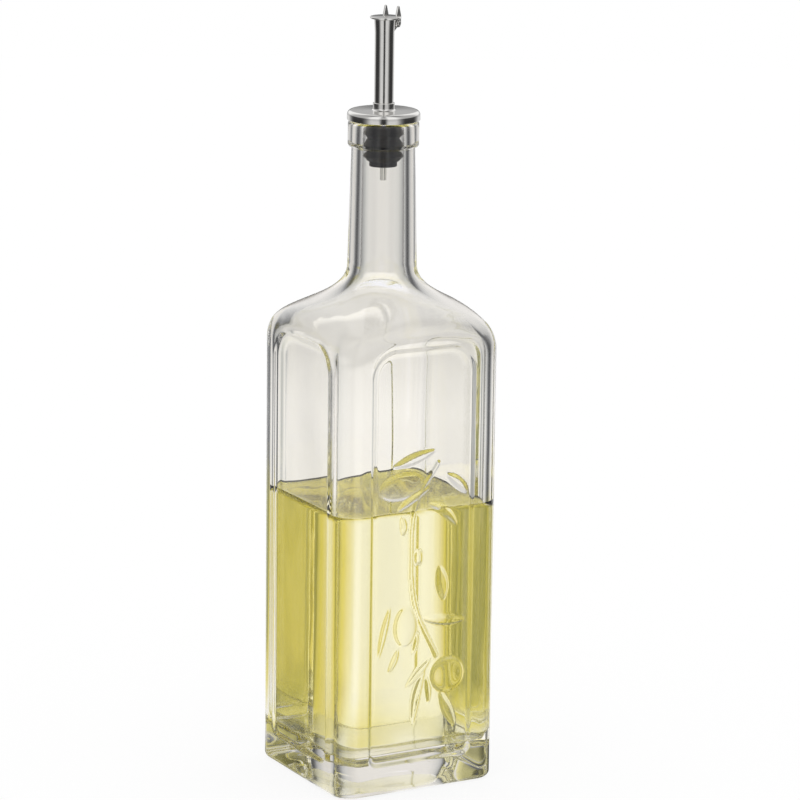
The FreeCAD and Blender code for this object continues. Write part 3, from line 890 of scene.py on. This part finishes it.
def floorMaterial():
    material, tree, shader = newMaterial("studioFloor")
    tree.nodes.remove(shader)
    f = floorLook
    diffuse = tree.nodes.new("ShaderNodeBsdfDiffuse")
    diffuse.inputs["Color"].default_value = f["color"]
    glow = tree.nodes.new("ShaderNodeEmission")
    glow.inputs["Strength"].default_value = f["strength"]
    path = tree.nodes.new("ShaderNodeLightPath")
    seen = mathNode(tree, "MULTIPLY", path.outputs["Is Camera Ray"], f["glow"])
    shown = mixShader(tree, seen, diffuse.outputs[0], glow.outputs[0])
    spot = tree.nodes.new("ShaderNodeTexCoord").outputs["Object"]
    around = useGroup(tree, surround)
    tree.links.new(spot, around.inputs["Vector"])
    distance = vectorNode(tree, "LENGTH", spot)
    away = mapRange(tree, distance, *f["nearEnd"], 0.0, 1.0)
    pastBase = mathNode(tree, "GREATER_THAN", path.outputs["Transmission Depth"], f["clearWalls"][0])
    noOil = mathNode(tree, "LESS_THAN", path.outputs["Transmission Depth"], f["clearWalls"][1])
    away = mathNode(tree, "MULTIPLY", mathNode(tree, "MAXIMUM", away, pastBase), noOil)
    # painted light and shade of the surround: near where a ray crossed the oil, far where it crossed only
    # empty glass
    passed = mixColor(tree, away, around.outputs["Near"], around.outputs["Far"])
    # painted golden glow near the base, seen through the base
    goldenGlow = mapRange(tree, distance, *f["foot"], f["footGlowMix"], 0.0)
    passed = mixColor(tree, goldenGlow, passed, f["footGlowColor"])
    # painted reflection strips for what mirrors the floor
    mirrored = mathNode(tree, "MULTIPLY", around.outputs["Glint"], f["glint"])
    mirrored = mathNode(tree, "ADD", mirrored, f["least"])
    indirect = tree.nodes.new("ShaderNodeEmission")
    crossing = path.outputs["Is Transmission Ray"]
    tree.links.new(mixColor(tree, crossing, mirrored, passed), indirect.inputs["Color"])
    # painted dimming of the glow further out and painted brightening at the foot
    fall = mapRange(tree, distance, *f["fall"], 1.0, f["fallTo"])
    foot = mapRange(tree, distance, *f["foot"], f["footGlowTo"], 1.0)
    tree.links.new(mathNode(tree, "MULTIPLY", fall, foot), indirect.inputs["Strength"])
    bent = mathNode(tree, "ADD", crossing, path.outputs["Is Glossy Ray"], clamp=True)
    either = mixShader(tree, bent, shown, indirect.outputs[0])
    tree.links.new(either, tree.nodes["Material Output"].inputs["Surface"])
    return material


def makeFloor():
    f = floorLook
    angles = [k * 2 * math.pi / f["sides"] for k in range(f["sides"])]
    ring = [(math.cos(angle) * f["radius"], math.sin(angle) * f["radius"], -f["drop"]) for angle in angles]
    mesh = bpy.data.meshes.new("studioFloor")
    mesh.from_pydata(ring, [], [tuple(range(f["sides"]))])
    mesh.materials.append(floorMaterial())
    floor = bpy.data.objects.new("studioFloor", mesh)
    scene.collection.objects.link(floor)


makeFloor()

# World: white to the camera, the surround's painted bands and a painted golden glow band to what looks
# through the glass, painted reflection strips and a painted overhead glow to what mirrors it, a plain soft
# studio to the rest
worldLook = {"diffuse": 1.0, "through": 0.76, "goldGlow": (1.3, 1.2, 0.42, 1), "goldGlowFrom": (0.08, 0.16),
             "goldGlowTo": (0.34, 0.46), "glint": 0.6, "overhead": 0.47, "overheadStart": (0.0, 0.2),
             "overheadEnd": (0.75, 0.95), "top": 0.4, "least": 0.06}


def makeWorld():
    world = bpy.data.worlds.new("studioWorld")
    world.use_nodes = True
    scene.world = world
    tree = world.node_tree
    tree.nodes.clear()
    w = worldLook
    direction = tree.nodes.new("ShaderNodeTexCoord").outputs["Generated"]
    around = useGroup(tree, surround)
    tree.links.new(direction, around.inputs["Vector"])
    parts = tree.nodes.new("ShaderNodeSeparateXYZ")
    tree.links.new(direction, parts.inputs[0])
    up = parts.outputs["Z"]
    # painted overhead glow and reflection strips, seen only in reflections
    high = mapRange(tree, up, *w["overheadStart"], 0.0, w["overhead"])
    highEnd = mapRange(tree, up, *w["overheadEnd"], 1.0, w["top"])
    shine = mathNode(tree, "MULTIPLY", around.outputs["Glint"], w["glint"])
    shine = mathNode(tree, "ADD", shine, mathNode(tree, "MULTIPLY", high, highEnd))
    shine = mathNode(tree, "ADD", shine, w["least"])
    path = tree.nodes.new("ShaderNodeLightPath")
    level = mixColor(tree, path.outputs["Is Glossy Ray"], w["diffuse"], shine)
    # painted bands of the surround with a painted golden glow band, seen only through the glass
    through = vectorNode(tree, "SCALE", around.outputs["Far"], scale=w["through"])
    goldGlowFrom = mapRange(tree, up, *w["goldGlowFrom"], 0.0, 1.0)
    goldGlowTo = mapRange(tree, up, *w["goldGlowTo"], 1.0, 0.0)
    goldGlow = mathNode(tree, "MULTIPLY", around.outputs["GoldGlow"], mathNode(tree, "MULTIPLY", goldGlowFrom, goldGlowTo))
    warmGlow = vectorNode(tree, "MULTIPLY", through, other=mixColor(tree, goldGlow, 1.0, w["goldGlow"]))
    passed = mixColor(tree, path.outputs["Is Transmission Ray"], level, warmGlow)
    seen = mixColor(tree, path.outputs["Is Camera Ray"], passed, 1.0)
    background = tree.nodes.new("ShaderNodeBackground")
    tree.links.new(seen, background.inputs["Color"])
    output = tree.nodes.new("ShaderNodeOutputWorld")
    tree.links.new(background.outputs[0], output.inputs["Surface"])


makeWorld()

# Camera, as fitted to the photo
cameraFit = {"target": (0.0, 0.0, 0.150), "targetPixel": (379.864, 443.026), "picture": 800,
             "focalPixels": 4030.5, "distance": 1.7934, "elevation": 13.809, "turn": 28.636, "roll": 0.664,
             "sensor": 36.0, "clipStart": 0.05, "clipEnd": 20.0}


def makeCamera():
    c = cameraFit
    e, t, r = (math.radians(c[k]) for k in ("elevation", "turn", "roll"))
    back = Vector((-math.sin(t) * math.cos(e), -math.cos(t) * math.cos(e), math.sin(e)))
    right = (-back).cross(Vector((0, 0, 1))).normalized()
    up = right.cross(-back)
    level = right * math.cos(r) + up * math.sin(r)
    upright = up * math.cos(r) - right * math.sin(r)
    half = c["picture"] / 2
    aim = -back
    aim = aim + level * ((half - c["targetPixel"][0]) / c["focalPixels"])
    aim = aim - upright * ((half - c["targetPixel"][1]) / c["focalPixels"])
    aim.normalize()
    side = aim.cross(upright).normalized()
    top = side.cross(aim)
    camera = bpy.data.objects.new("mainCamera", bpy.data.cameras.new("mainCamera"))
    camera.data.sensor_width = c["sensor"]
    camera.data.lens = c["sensor"] * c["focalPixels"] / c["picture"]
    camera.data.clip_start = c["clipStart"]
    camera.data.clip_end = c["clipEnd"]
    stand = Vector(c["target"]) + back * c["distance"]
    turnBack = Matrix((side, top, -aim)).transposed().to_4x4()
    camera.matrix_world = Matrix.Translation(stand) @ turnBack
    scene.collection.objects.link(camera)
    scene.camera = camera


makeCamera()
scene.view_settings.view_transform = "Standard"
scene.cycles.max_bounces = 40
scene.cycles.transmission_bounces = 40
scene.cycles.glossy_bounces = 24
scene.cycles.transparent_max_bounces = 24
print("stage, world and camera made")
